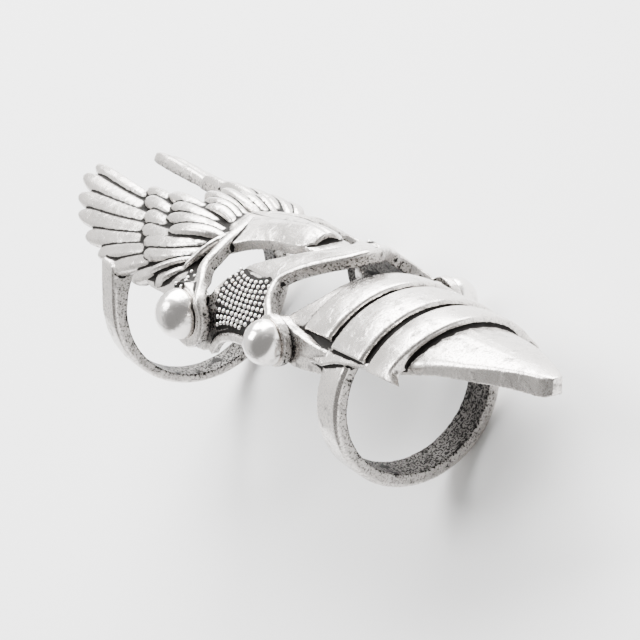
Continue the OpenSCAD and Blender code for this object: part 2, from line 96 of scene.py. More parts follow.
def beside(x, y, r):
    """The same, by the distance y from the middle plane."""
    return np.array([x, y, rise(x) + math.sqrt(r * r - y * y)])


def mix(p, q, t):
    """Value a share t of the way from p to q."""
    return p * (1 - t) + q * t


def through(p, m, q, t):
    """Value of the curve through three values, from t = 0 to 1."""
    return p * (1 - t) * (1 - 2 * t) + m * 4 * t * (1 - t) + q * t * (2 * t - 1)


def smooth(table, count):
    """Rows along the smooth curve that passes through every row of a table."""
    rows = np.array(table, float)
    rows = np.vstack([2 * rows[0] - rows[1], rows, 2 * rows[-1] - rows[-2]])
    out = []
    for t in np.linspace(0, len(rows) - 3, count):
        k = min(int(t), len(rows) - 4)
        f = t - k
        a, b, c, d = rows[k : k + 4]
        bend = (2 * a - 5 * b + 4 * c - d) * f**2 + (3 * b - a - 3 * c + d) * f**3
        out.append(b + (c - a) * f / 2 + bend / 2)
    return np.array(out)


def lay(points):
    """Turns points from the worn pose to the ring's rest on its far side, as the part does."""
    c, s = math.cos(REST_ROLL), math.sin(REST_ROLL)
    roll = np.array([[1, 0, 0], [0, c, -s], [0, s, c]])
    c, s = math.cos(REST_PITCH), math.sin(REST_PITCH)
    pitch = np.array([[c, 0, s], [0, 1, 0], [-s, 0, c]])
    return np.asarray(points) @ (pitch @ roll).T


# %% [markdown]
# ## Forms
# Three kinds of form make everything. A loft is a closed skin over a row of rings, a plate is the
# solid between two grids of points, and a strand is a loft with a rounded crown that follows a
# path, as a rolled wax wire does. The far side of the ring is the near side mirrored.


# %% Lofts, plates and strands
def loft(rings):
    """Closed skin over rings of equal length, with a fan at each end."""
    rings = np.array(rings, float)
    count, n = rings.shape[:2]
    points = np.vstack([rings.reshape(-1, 3), rings[0].mean(0), rings[-1].mean(0)])
    faces = []
    for k in range(count - 1):
        for i in range(n):
            j = (i + 1) % n
            faces.append((k * n + i, k * n + j, (k + 1) * n + j, (k + 1) * n + i))
    first, last = count * n, count * n + 1
    for i in range(n):
        j = (i + 1) % n
        faces.append((first, j, i))
        faces.append((last, (count - 1) * n + i, (count - 1) * n + j))
    return points, faces


def plate(outer, inner):
    """Solid between two grids of points, rows by columns."""
    outer, inner = np.array(outer, float), np.array(inner, float)
    rows, cols = outer.shape[:2]
    n = rows * cols
    points = np.vstack([outer.reshape(-1, 3), inner.reshape(-1, 3)])
    faces = []
    for k in range(rows - 1):
        for i in range(cols - 1):
            a, b, c, d = k * cols + i, (k + 1) * cols + i, (k + 1) * cols + i + 1, k * cols + i + 1
            faces.append((a, b, c, d))
            faces.append((n + d, n + c, n + b, n + a))
    rim = [(0, i) for i in range(cols - 1)]
    rim += [(k, cols - 1) for k in range(rows - 1)]
    rim += [(rows - 1, i) for i in range(cols - 1, 0, -1)]
    rim += [(k, 0) for k in range(rows - 1, 0, -1)]
    rim = [k * cols + i for k, i in rim]
    for p, q in zip(rim, rim[1:] + rim[:1]):
        faces.append((p, q, n + q, n + p))
    return points, faces


CROWN = [(-1, -1), (-1, -0.16), (-0.78, -0.05), (-0.4, 0), (0.4, 0), (0.78, -0.05), (1, -0.16), (1, -1)]


def strand(points, outs, halves, depths):
    """Strand along points; at each, its crown faces the angle out, with a half width and a depth."""
    points = np.array(points, float)
    rings = []
    for k, p in enumerate(points):
        along = points[min(k + 1, len(points) - 1)] - points[max(k - 1, 0)]
        out = np.array([0, math.sin(math.radians(outs[k])), math.cos(math.radians(outs[k]))])
        side = np.cross(out, along)
        side /= np.linalg.norm(side)
        rings.append([p + e * halves[k] * side + h * depths[k] * out for e, h in CROWN])
    return loft(rings)


def mirrored(form):
    """The same form on the other side of the finger."""
    points, faces = form
    return points * [1, -1, 1], [tuple(reversed(f)) for f in faces]


def both_sides(forms):
    """Forms and their mirror images."""
    return forms + [mirrored(f) for f in forms]


def across(x, z, r, y0, y1, count=48):
    """Disc across the finger about a pivot."""
    turn = np.linspace(0, 2 * math.pi, count, endpoint=False)
    return loft([[(x + r * math.cos(t), y, z + r * math.sin(t)) for t in turn] for y in (y0, y1)])


# %% [markdown]
# ## One casting
# On the real ring each section is one piece of metal, so its forms are fused into one skin here:
# a voxel remesh takes the outer surface of everything laid together, and a light smoothing gives
# the soft edges of a tumbled casting. The finish needs to know where the oxide stays after
# polishing, so each point of the skin is given two numbers: how deep it lies in a recess, found by
# comparing the skin with a smoothed copy of itself, and how far it faces inwards to the finger.


# %% Fuse forms into one casting
# Where along the finger the polish begins to go round the edges, and where it has
NAIL_POLISH = (52, 56)


def skin_mesh(name, forms):
    """One mesh of many forms, laid down to rest and in metres."""
    points, faces, count = [], [], 0
    for p, f in forms:
        points.append(p)
        faces += [tuple(i + count for i in face) for face in f]
        count += len(p)
    mesh = bpy.data.meshes.new(name)
    mesh.from_pydata(lay(np.vstack(points)) * MM, [], faces)
    return mesh


def new_object(name, mesh):
    """A mesh as an object of the scene."""
    obj = bpy.data.objects.new(name, mesh)
    bpy.context.scene.collection.objects.link(obj)
    return obj


def applied(obj):
    """The object's mesh with its modifiers applied."""
    shown = obj.evaluated_get(bpy.context.evaluated_depsgraph_get())
    mesh = bpy.data.meshes.new_from_object(shown)
    obj.modifiers.clear()
    old, obj.data = obj.data, mesh
    bpy.data.meshes.remove(old)
    return obj


def mesh_arrays(mesh):
    """A mesh's points, their normals and its edges."""
    co = np.empty(len(mesh.vertices) * 3)
    mesh.vertices.foreach_get("co", co)
    no = np.empty(len(mesh.vertices) * 3)
    mesh.vertex_normals.foreach_get("vector", no)
    edges = np.empty(len(mesh.edges) * 2, int)
    mesh.edges.foreach_get("vertices", edges)
    return co.reshape(-1, 3), no.reshape(-1, 3), edges.reshape(-1, 2)


def mark_recesses(mesh):
    """Writes the point attributes recess and inside, each from 0 to 1."""
    co, no, edges = mesh_arrays(mesh)
    a, b = edges.T
    degree = np.bincount(edges.ravel(), minlength=len(co))[:, None]
    depth = np.zeros(len(co))
    soft = co.copy()
    done = 0
    for passes, full_depth in ((6, 0.045), (30, 0.13), (150, 0.3)):
        for _ in range(passes - done):
            total = np.zeros_like(soft)
            for axis in range(3):
                total[:, axis] += np.bincount(a, soft[b, axis], len(co))
                total[:, axis] += np.bincount(b, soft[a, axis], len(co))
            soft = 0.4 * soft + 0.6 * total / degree
        done = passes
        depth = np.maximum(depth, ((soft - co) * no).sum(1) / (full_depth * MM))
    line = lay([[0, 0, 0], [BAND_PITCH, 0, BAND_RISE]]) * MM
    along = (line[1] - line[0]) / np.linalg.norm(line[1] - line[0])
    out = co - line[0]
    reach = out @ along
    out -= np.outer(reach, along)
    out /= np.linalg.norm(out, axis=1)[:, None]
    # The nail plate is polished all round
    inside = np.clip(0.35 - (out * no).sum(1), 0, 1) * np.interp(reach / MM, NAIL_POLISH, [1, 0])
    for name, value in (("recess", np.clip(depth, 0, 1)), ("inside", inside)):
        mesh.attributes.new(name, "FLOAT", "POINT").data.foreach_set("value", value.astype(np.float32))


def cast(name, node, body, forms, voxel, triangles):
    """One casting in place of a CAD node."""
    obj = new_object(name, skin_mesh(name, forms))
    remesh = obj.modifiers.new("fuse", "REMESH")
    remesh.mode = "VOXEL"
    remesh.voxel_size = voxel * MM
    applied(obj)
    tumble = obj.modifiers.new("tumble", "SMOOTH")
    tumble.factor = 0.5
    tumble.iterations = 3
    applied(obj)
    mark_recesses(obj.data)
    sides = sum(len(p.vertices) - 2 for p in obj.data.polygons)
    if sides > triangles:
        thin = obj.modifiers.new("thin", "DECIMATE")
        thin.ratio = triangles / sides
        applied(obj)
    obj.data.polygons.foreach_set("use_smooth", [True] * len(obj.data.polygons))
    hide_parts(node)
    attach(obj, body)
    print(name, "fused from", len(forms), "forms:", sides, "triangles, kept", len(obj.data.polygons))
    return obj


# %% [markdown]
# ## Feathers
# Each wing is four layers of feathers, and a feather is a blade along a curved middle line: its
# root lies under the stem and its tip fans out behind the rear band. The tables give the line as
# shares of the wing's length and angles from the top, and its width as a share of the widest
# feather. The crown is rounded and the edges fall away, which leaves the dark grooves between.

# %% The wings' feathers
WING_BACK = 17.3
WING_LEN = REAR_PIVOT_X + WING_BACK
BACKING_STAND = 1.15
WING_IN_R = REAR_BORE_R + BACKING_STAND
FEATHER_T, FEATHER_HALF_W, GROOVE_D = 1.9, 1.2, 0.8
ROW_STEP, WING_FLARE, SINK = 0.45, 0.9, 0.3
CHART_R = WING_IN_R + FEATHER_T

# Root share, root angle, middle share, middle angle, tip share, tip angle, width share
LONG_FEATHERS = [
    (0.54, 19.5, 0.76, 20, 1.01, 18, 0.75),
    (0.49, 25, 0.74, 28.5, 1.0, 26.5, 0.95),
    (0.435, 30, 0.675, 35.5, 0.93, 38, 1),
    (0.395, 33, 0.605, 43, 0.865, 46.5, 1),
    (0.33, 37, 0.555, 49.5, 0.76, 55.5, 1),
    (0.275, 41, 0.475, 53, 0.645, 62, 0.95),
    (0.195, 42, 0.38, 55.5, 0.54, 66.5, 0.9),
    (0.145, 44, 0.265, 56, 0.395, 67, 0.85),
    (0.13, 48, 0.195, 57, 0.25, 62.5, 1),
]
SECOND_ROW = [
    (0.41, 15.5, 0.53, 17.5, 0.67, 16.5, 0.7),
    (0.33, 24.5, 0.475, 24.5, 0.615, 23, 0.8),
    (0.275, 28, 0.41, 32, 0.535, 31, 0.85),
    (0.195, 27, 0.315, 37.5, 0.485, 39, 0.85),
    (0.13, 26, 0.25, 39.5, 0.43, 45, 0.85),
    (0.12, 33, 0.235, 46, 0.385, 51, 0.75),
]
THIRD_ROW = [
    (0.25, 14.5, 0.37, 15.5, 0.535, 15.5, 0.75),
    (0.17, 17.5, 0.29, 20, 0.455, 21.5, 0.75),
    (0.135, 20, 0.24, 24.5, 0.41, 29, 0.75),
    (0.12, 23, 0.2, 28.5, 0.34, 35.5, 0.75),
]
TOP_TUFT = [
    (0.135, 5, 0.29, 3.5, 0.425, 5, 0.65),
    (0.145, 9, 0.25, 7.5, 0.37, 10, 0.6),
    (0.15, 13, 0.225, 12, 0.315, 14.5, 0.6),
]
STRANDS = [
    (0.1, 12, 0.095, 29, 0.135, 51, 0.4),
    (0.115, 40, 0.21, 50, 0.3, 60, 0.4),
    (0.105, 45, 0.16, 53, 0.215, 60.5, 0.45),
]
# Along a feather: place, width share, height share
FEATHER_SECTIONS = [
    (0, 0.6, 0.35),
    (0.12, 0.72, 0.5),
    (0.24, 0.84, 0.68),
    (0.36, 0.93, 0.82),
    (0.5, 1, 0.93),
    (0.62, 1.04, 0.98),
    (0.74, 1.05, 1),
    (0.84, 1.03, 0.98),
    (0.91, 0.93, 0.94),
    (0.96, 0.74, 0.86),
    (0.99, 0.5, 0.75),
    (1, 0.3, 0.6),
]
ACROSS_FEATHER = np.linspace(-1, 1, 13)


def wing_x(share):
    """Length on the chart, from the rear rivet back to the tips of the wings."""
    return REAR_PIVOT_X - share * WING_LEN


def flare(x):
    """How far the wings stand off the finger behind the rear band."""
    return np.where(np.asarray(x) < 0, WING_FLARE * (np.asarray(x) / WING_BACK) ** 2, 0)


def feather(row, top_r, low_r):
    """One feather from its row of a table: a strand whose width lies square to its middle line."""
    root, root_a, middle, middle_a, end, end_a, width = row
    rings = []
    for s, wide, high in FEATHER_SECTIONS:
        x, a = wing_x(through(root, middle, end, s)), through(root_a, middle_a, end_a, s)
        ahead = s + 0.02
        dx = wing_x(through(root, middle, end, ahead)) - x
        da = math.radians(through(root_a, middle_a, end_a, ahead) - a) * CHART_R
        w = width * FEATHER_HALF_W * wide / math.hypot(dx, da)
        sx, sa = -da * w, math.degrees(dx * w / CHART_R)
        crown = low_r + (top_r - low_r) * high
        top = crown - GROOVE_D * high * np.abs(ACROSS_FEATHER) ** 4
        e = np.concatenate([[-1], ACROSS_FEATHER, [1]])
        r = np.concatenate([[low_r], top, [low_r]])
        rings.append(at(x + sx * e, a + sa * e, r + flare(x)))
    return loft(rings)


LAYERS = [(LONG_FEATHERS, 0), (SECOND_ROW, 1), (THIRD_ROW, 2), (TOP_TUFT, 2), (STRANDS, 1)]
wing_forms = [
    feather(row, CHART_R + step * ROW_STEP, WING_IN_R + SINK) for table, step in LAYERS for row in table
]
print(len(wing_forms), "feathers and strands on each wing")

# %% [markdown]
# ## The wings' backing, stem and scroll
# A thin curved plate carries the feathers and flares out to the rear rivet. A raised stem starts
# at the ridge, runs down in front of the feathers and curls round the rivet's dome as a scroll.
# On a real wax this is a wire laid on last, so here it is a strand too.

# %% Backing plate, stem and scroll
# Angle, back and front as shares, and how much of the plate's spread each has
BACKING = [
    (10, 0.49, 0.13, 0, 0),
    (22, 0.7, 0.07, 0, 0),
    (32, 0.7, 0.06, 0, 0),
    (42, 0.64, 0.05, 0, 0),
    (50, 0.55, 0.01, 0, 0.35),
    (56, 0.47, -0.01, 0, 0.85),
    (61, 0.38, 0, 0.1, 0.9),
    (66, 0.26, 0.05, 0.25, 0.8),
]
BACKING_T, LUG_SPREAD = 1.1, 2.6
STEM_W, STEM_D, WING_LUG_R, SCROLL_R, SCROLL_H = 1.4, 1.7, 3.6, 3.9, 0.5
SCROLL_Y = WING_LUG_Y + LUG_T + SCROLL_H
BACKING_ROWS = smooth(BACKING, 32)


def backing():
    """The curved plate under the feathers."""
    share = np.linspace(0, 1, 14)

    def row(b, r):
        x = wing_x(mix(b[1], b[2], share))
        return at(x, b[0], r + flare(x) + LUG_SPREAD * mix(b[3], b[4], share**3))

    top = WING_IN_R + BACKING_T
    return plate([row(b, top) for b in BACKING_ROWS], [row(b, WING_IN_R) for b in BACKING_ROWS])


# Share, angle, height of the crown over the backing as a share of the stem's depth
STEM = [
    (0.13, 5, 0.5),
    (0.085, 16, 0.52),
    (0.065, 25.5, 0.55),
    (0.05, 35.3, 0.6),
    (0.04, 45, 0.7),
    (-0.005, 52.5, 0.95),
]
# Angle round the rivet from the front, radius share, width share
SCROLL = [
    (40, 1.06, 1),
    (14, 1.05, 1),
    (-14, 1, 1),
    (-46, 0.93, 1),
    (-78, 0.86, 0.9),
    (-110, 0.8, 0.75),
    (-140, 0.74, 0.5),
]


def stem():
    """One strand down the front of the feathers and round the rivet."""
    # Each row of the path is a place, the angle that the crown faces, half width and depth
    path = []
    for share, a, high in STEM:
        place = at(wing_x(share), a, WING_IN_R + BACKING_T + STEM_D * high)
        path.append((*place, a, STEM_W / 2, STEM_D))
    for a, far, wide in SCROLL:
        turn, r = math.radians(a), SCROLL_R * far
        place = (REAR_PIVOT_X + r * math.cos(turn), SCROLL_Y, REAR_PIVOT_Z + r * math.sin(turn))
        path.append((*place, 90, STEM_W / 2 * wide, SCROLL_Y - WING_LUG_Y - SINK))
    path = smooth(path, 70)
    return strand(path[:, :3], path[:, 3], path[:, 4], path[:, 5])


wing_forms += [
    backing(),
    stem(),
    across(REAR_PIVOT_X, REAR_PIVOT_Z, WING_LUG_R, WING_LUG_Y, WING_LUG_Y + LUG_T),
]

# %% [markdown]
# ## The neck over the knuckle
# The two wings meet in a roof-shaped neck with a fine groove along its ridge. Its lower edges are
# cut back steeply, which gives the dark wall under the bright roof, and a thinner tongue reaches
# forward from its rounded end under the link plate's strap.

# %% Neck and tongue
# Share of the pivots' pitch, half width as a share of the widest, and the heights of the ridge and
# of the edges over the backing as shares of the ridge's
NECK = [
    (-0.42, 0.5, 0.22, 0.05),
    (-0.27, 0.85, 0.35, 0.05),
    (-0.13, 1, 0.48, 0.1),
    (0.03, 0.78, 0.65, 0.2),
    (0.2, 0.61, 0.83, 0.26),
    (0.37, 0.53, 1, 0.3),
    (0.5, 0.46, 1, 0.35),
    (0.585, 0.27, 0.91, 0.48),
]
TONGUE = [
    (0.45, 0.44, 0.35, 0.26),
    (0.58, 0.42, 0.35, 0.26),
    (0.68, 0.37, 0.3, 0.22),
    (0.72, 0.27, 0.26, 0.22),
]
NECK_HALF_W, RIDGE_H, NECK_T = 5.9, 2.3, 2.1
RIDGE_GROOVE_D, GROOVE_HALF_W = 0.3, 0.3


def ridge(table, thick, groove):
    """A roof over the finger along a table, with a groove on its ridge."""
    rings = []
    for row in smooth(table, 40):
        half, top, edge = row[1:] * [NECK_HALF_W, RIDGE_H, RIDGE_H]
        x, r = REAR_PIVOT_X + row[0] * PIVOT_PITCH, WING_IN_R + BACKING_T
        ring = [beside(x, -half, r + edge - thick * 0.6)]
        for u in np.linspace(-1, 1, 15):
            fall = 0.65 * abs(u) + 0.35 * abs(u) ** 3
            dip = groove * math.exp(-((u * half / GROOVE_HALF_W) ** 2))
            ring.append(beside(x, half * u, r + mix(top, edge, fall) - dip))
        ring.append(beside(x, half, r + edge - thick * 0.6))
        ring.append(beside(x, 0, r + top - thick))
        rings.append(ring)
    return loft(rings)


# %% [markdown]
# ## The rear band
# The rear band is round where the finger goes, but outside it is straight beside the finger and
# grows into the wings' lower edges. It stays open at the top, where the wings part.

# %% Rear band
REAR_BAND_W, REAR_BAND_T, REAR_BAND_SIDE_T = 3.2, 1.15, 1.95
BAND_OPEN_A, SIDE_LOW_A, SIDE_TOP_A = 25, 50, 64
# Corners of a band's section: share of the half width, and whether it is the outer face
BAND_SECTION = [(-1, 0), (-1, 0.75), (-0.85, 1), (0.85, 1), (1, 0.75), (1, 0)]


def rear_outer(a):
    """Distance of the rear band's outer face from its centre, at an angle from the top."""
    side = REAR_BORE_R + REAR_BAND_SIDE_T
    low = REAR_BAND_SIDE_T - REAR_BAND_T
    upper = WING_IN_R + 2 * SINK
    s, c = math.sin(math.radians(a)), math.cos(math.radians(a))
    circle = low * c + math.sqrt(side**2 - (low * s) ** 2)
    if c * circle < low:
        return circle
    if a > SIDE_TOP_A:
        return side / s
    grown = max(0, (a - SIDE_LOW_A) / (SIDE_TOP_A - SIDE_LOW_A)) ** 2
    return mix(upper, side / math.sin(math.radians(SIDE_TOP_A)), grown)


def band(centre, inner, outer, width, angles):
    """Half of a band, from one angle to another."""
    rings = []
    for a in angles:
        s, c = math.sin(math.radians(a)), math.cos(math.radians(a))
        ring = []
        for e, h in BAND_SECTION:
            r = mix(inner, outer(a), h)
            ring.append((centre[0] + e * width / 2, r * s, centre[1] + r * c))
        rings.append(ring)
    return loft(rings)


rear_band = band((0, 0), REAR_BORE_R, rear_outer, REAR_BAND_W, np.linspace(BAND_OPEN_A, 180.5, 90))
middle_forms = [ridge(NECK, NECK_T, RIDGE_GROOVE_D), ridge(TONGUE, NECK_T * 0.6, 0)]
wing_all = both_sides(wing_forms + [rear_band]) + middle_forms
wings = cast("wing_casting", "wing_section", "wings", wing_all, voxel=0.15, triangles=170000)

# %% [markdown]
# ## The link plate
# One arched plate reaches over the knuckle from rivet to rivet. Its strap rises in the middle and
# is polished; its side fields are flat beside the finger and lie a little deeper, ready for the
# granulation. A raised rim follows the front edge down to the rivet and a lip closes the bottom.

# %% Link plate
LINK_IN_R, LINK_T, STRAP_RISE, RIM_H, RIM_W = 12.1, 1.1, 1.0, 0.5, 1.0
LINK_REAR_LUG_R, LINK_FRONT_LUG_R = 3.0, 3.0
# Angle, rear and front edges as shares of the pitch between the rivets, rise share
LINK_ROWS = [
    (0, 0.79, 1.08, 1),
    (8, 0.73, 1.05, 0.85),
    (15, 0.61, 0.945, 0.5),
    (22, 0.505, 0.845, 0.25),
    (29, 0.38, 0.76, 0.1),
    (35, 0.29, 0.72, 0.02),
    (41, 0.215, 0.74, 0),
    (47, 0.165, 0.79, 0),
    (52, 0.135, 0.865, 0),
    (56, 0.12, 0.925, 0),
    (60, 0.06, 0.99, 0),
    (66, -0.05, 1.08, 0),
    (72, -0.1, 0.96, 0),
    (77, -0.11, 0.38, 0),
    (84, -0.1, 0.235, 0),
    (89, -0.08, 0.1, 0),
]
# Share of the pivots' pitch, share of the lip's rise
LIP = [(0.23, 0.21), (0.3, 0.55), (0.38, 0.76), (0.5, 0.9), (0.62, 0.95), (0.78, 1)]
LIP_RISE, RIM_END_A = 4.2, 56
FIELD_TOP_A, FIELD_DEPTH = 35, 0.2


def link_at(share, a, r, thick):
    """Point of the link plate, which is flat beside the finger where the lugs are."""
    share, a, r = np.broadcast_arrays(share, np.asarray(a, float), r)
    x = REAR_PIVOT_X + PIVOT_PITCH * share
    flat_y = mix(LINK_REAR_Y, LINK_FRONT_Y, share) + thick
    turn = np.radians(np.abs(a))
    y = np.minimum((r + thick) * np.sin(turn), flat_y)
    return np.stack([x, np.sign(a) * y, rise(x) + (r + thick) * np.cos(turn)], -1)


link_side_rows = smooth(LINK_ROWS, 70)
link_rows = np.vstack([link_side_rows[:0:-1] * [-1, 1, 1, 1], link_side_rows])


def link_shell():
    """The arched plate itself, its fields a little deeper than its strap."""
    share = np.linspace(0, 1, 16)

    def row(b, thick):
        shape = mix(0.6, 1, share) + 0.25 * np.sin(math.pi * share)
        field = FIELD_DEPTH if thick and abs(b[0]) > FIELD_TOP_A else 0
        return link_at(mix(b[1], b[2], share), b[0], LINK_IN_R + b[3] * STRAP_RISE * shape, thick - field)

    return plate([row(b, LINK_T) for b in link_rows], [row(b, 0) for b in link_rows])


def link_rim():
    """The raised rim down the front edge, on one side."""
    rim = [b for b in link_side_rows if b[0] <= RIM_END_A + 1]
    rise_of = [LINK_IN_R + b[3] * STRAP_RISE + RIM_H * (1 - b[3] / 2) for b in rim]
    points = [link_at(b[2] - 0.025, b[0], r, LINK_T) for b, r in zip(rim, rise_of)]
    return strand(points, [b[0] for b in rim], [RIM_W / 2] * len(rim), [LINK_T + RIM_H] * len(rim))


def link_lip():
    """The lip that closes the bottom of a field."""
    lip = smooth(LIP, 20)
    x = REAR_PIVOT_X + PIVOT_PITCH * lip[:, 0]
    y = mix(LINK_REAR_Y, LINK_FRONT_Y, lip[:, 0]) + LUG_T + RIM_H * 0.6
    path = np.stack([x, y, rise(x) + LIP_RISE * lip[:, 1]], 1)
    count = len(lip)
    return strand(path, [90] * count, [RIM_W / 2] * count, [LUG_T] * count)


link_forms = [link_shell()] + both_sides(
    [
        link_rim(),
        link_lip(),
        across(REAR_PIVOT_X, REAR_PIVOT_Z, LINK_REAR_LUG_R, LINK_REAR_Y, LINK_REAR_Y + LUG_T),
        across(FRONT_PIVOT_X, FRONT_PIVOT_Z, LINK_FRONT_LUG_R, LINK_FRONT_Y, LINK_FRONT_Y + LUG_T),
    ]
)
link = cast("link_casting", "link_plate", "link", link_forms, voxel=0.14, triangles=90000)

# %% [markdown]
# ## Granulation
# The side fields are filled with rows of small grains, and so is a little triangle of each wing
# above the rear rivet. Such grains are balls of metal fused to the ground, half sunk in it. The
# rows sag under the strap, arch over the lip, and fan out between. They are round meshes, one
# piece for each casting, and the ground between them keeps its oxide.

# %% Grains
GRAIN_R, GRAIN_STEP = 0.26, 0.9
# How far a grain's centre stands off the ground, on the link plate and on the wings
FIELD_GRAIN_UP, WING_GRAIN_UP = 0.05, 0.04
# No grain of a field comes nearer than this to the rear and the front pivot
REAR_CLEAR, FRONT_CLEAR = 5.2, 3.2
# The ground is dark out to this many radii from a grain
DARK_REACH = 3.2
# The top, middle and bottom row of the field, each by its rear, middle and front place
FIELD = np.array(
    [
        [(0.25, 38), (0.45, 41.5), (0.63, 36.5)],
        [(0.16, 57), (0.45, 57.5), (0.83, 55.5)],
        [(0.24, 73), (0.42, 66.5), (0.64, 66)],
    ]
)
FIELD_ROWS, MIDDLE_ROW = 10, 6
# Length and angle of each grain on a wing
WING_TRIANGLE = [
    (17.2, 50),
    (18.9, 51.5),
    (18, 53.7),
    (19.7, 55.5),
    (17.2, 57.7),
    (18.6, 58.3),
    (19.9, 58.7),
    (16.8, 61.6),
]


def ball():
    """A small round mesh, as points and faces."""
    bm = bmesh.new()
    bmesh.ops.create_icosphere(bm, subdivisions=2, radius=1)
    points = np.array([v.co for v in bm.verts])
    faces = [tuple(v.index for v in f.verts) for f in bm.faces]
    bm.free()
    return points, faces


def grains(name, centres, body):
    """One mesh of grains; each centre is (x, y, z, size share)."""
    points, faces = ball()
    forms = [(points * GRAIN_R * c[3] + c[:3], faces) for c in centres]
    obj = new_object(name, skin_mesh(name, forms))
    obj.data.polygons.foreach_set("use_smooth", [True] * len(obj.data.polygons))
    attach(obj, body)
    print(name, "has", len(centres), "grains")
    return obj


def field_row(k):
    """Grains in one row of a side field, an even step apart."""
    u = np.linspace(0, 1, 50)[:, None]
    top, middle, bottom = (through(r[0], r[1], r[2], u) for r in FIELD)
    if k < MIDDLE_ROW:
        share, a = mix(top, middle, k / MIDDLE_ROW).T
    else:
        share, a = mix(middle, bottom, (k - MIDDLE_ROW) / (FIELD_ROWS - 1 - MIDDLE_ROW)).T
    path = link_at(share, a, LINK_IN_R, LINK_T - FIELD_DEPTH + FIELD_GRAIN_UP)
    length = np.append(0, np.cumsum(np.linalg.norm(np.diff(path, axis=0), axis=1)))
    steps = np.arange(k % 2 * 0.5 * GRAIN_STEP, length[-1], GRAIN_STEP)
    places = np.stack([np.interp(steps, length, path[:, axis]) for axis in range(3)], 1)
    return [np.append(p, 1) for p in places]


def field_centres():
    """Grains over one side field of the link plate, clear of the rivets."""
    centres = np.array([c for k in range(FIELD_ROWS) for c in field_row(k)])
    rear = np.hypot(centres[:, 0] - REAR_PIVOT_X, centres[:, 2] - REAR_PIVOT_Z)
    front = np.hypot(centres[:, 0] - FRONT_PIVOT_X, centres[:, 2] - FRONT_PIVOT_Z)
    return centres[(rear > REAR_CLEAR) & (front > FRONT_CLEAR)]


def wing_centres():
    """Grains on the skin of the far wing, found by looking in at it from outside."""
    centres, start = [], 20
    for x, a in WING_TRIANGLE:
        outside = at(x, a, start)
        way = lay(at(x, a, 0) - outside)
        hit, place = wings.ray_cast(lay(outside) * MM, way / np.linalg.norm(way))[:2]
        if hit:
            sunk = np.linalg.norm(np.array(place) / MM - lay(outside))
            centres.append([*at(x, a, start - sunk + WING_GRAIN_UP), 0.95])
    return np.array(centres)


def darken_ground(obj, centres):
    """Keeps the oxide on the ground around the grains, but not on the walls or inside."""
    co = mesh_arrays(obj.data)[0]
    recess, inside = np.empty(len(co), np.float32), np.empty(len(co), np.float32)
    obj.data.attributes["recess"].data.foreach_get("value", recess)
    obj.data.attributes["inside"].data.foreach_get("value", inside)
    for c in centres:
        near = np.linalg.norm(co - lay(c[:3]) * MM, axis=1) / (GRAIN_R * MM)
        recess = np.maximum(recess, np.clip(DARK_REACH - near, 0, 1) * (inside < 0.02))
    obj.data.attributes["recess"].data.foreach_set("value", recess.astype(np.float32))


def both_fields(centres):
    """Grains of one side and the other."""
    return np.vstack([centres, centres * [1, -1, 1, 1]])


link_places, wing_places = both_fields(field_centres()), both_fields(wing_centres())
link_beads = grains("link_grains", link_places, "link")
wing_beads = grains("wing_grains", wing_places, "wings")
darken_ground(link, link_places)
darken_ground(wings, wing_places)

# %% [markdown]
# ## The tip section
# The tip section is the fingertip's armour: a base plate, three raised lames one behind another
# and a pointed nail plate with upright edges. A closed band holds it under the last joint, and a
# flat ear on each side turns on the front rivets.

# %% Tip section
NAIL_REACH, NAIL_HALF_W, NAIL_RISE, NAIL_T = 28.7, 7.4, 10.4, 2.4
NAIL_CROWN, NAIL_EDGE, LAME_BELLY = 0.12, 0.45, 0.12
BASE_STAND, BASE_T, LAME_T, EAR_R = 1.0, 1.2, 0.75, 2.6
BASE_IN_R = FRONT_BORE_R + BASE_STAND
FRONT_BAND_W, FRONT_BAND_T = 4.2, 1.65
# Angle, rear and front edges as shares of the nail's reach
BASE_ROWS = [
    (0, -0.31, 0.34),
    (16, -0.315, 0.34),
    (30, -0.33, 0.34),
    (41, -0.375, 0.33),
    (50, -0.42, 0.33),
    (56, -0.34, 0.21),
    (61, -0.29, 0.02),
    (66, -0.26, -0.07),
]
# The base plate keeps its size up to the first share of the reach, and is closed in at the second
CLOSING, BASE_CLOSING, BASE_PARTING = (-0.2, 0.35), 0.7, 1.6
# Back and front as shares, half angle, rise at the back and at the front, sweep and corner lobe
LAMES = [
    (-0.258, -0.066, 51, 0.7, 1.05, 0, 0),
    (-0.042, 0.181, 54.5, 0.75, 1.1, 0, 0),
    (0.216, 0.395, 58, 0.7, 1.0, 0.045, 0.05),
]
# Share of the nail's reach, half width share, share of the nail's rise, thickness share
NAIL = [
    (0.33, 1, 1, 0.65),
    (0.42, 0.9, 0.995, 0.68),
    (0.52, 0.78, 0.99, 0.75),
    (0.66, 0.61, 0.97, 0.85),
    (0.79, 0.42, 0.948, 0.93),
    (0.89, 0.27, 0.925, 1),
    (0.965, 0.165, 0.906, 1),
    (1, 0.08, 0.89, 0.8),
]
EAR_WEB = [(0, -0.95, 0.95, 0), (0.35, -0.9, 0.75, 0), (0.7, -0.75, 0.6, 0.3), (1, -0.6, 0.5, 0.75)]


def tip_x(share):
    """Length on the chart, from the front band towards the nail's point."""
    return BAND_PITCH + share * NAIL_REACH


def closed(x):
    """How far the base plate is closed in at a length, 1 at the end of its closing."""
    span = (CLOSING[1] - CLOSING[0]) * NAIL_REACH
    return np.maximum(0, (x - tip_x(CLOSING[0])) / span)


def base_r(x):
    """Inner radius of the base plate, which closes in on the finger towards the nail."""
    return BASE_IN_R - BASE_CLOSING * closed(x) ** 1.4


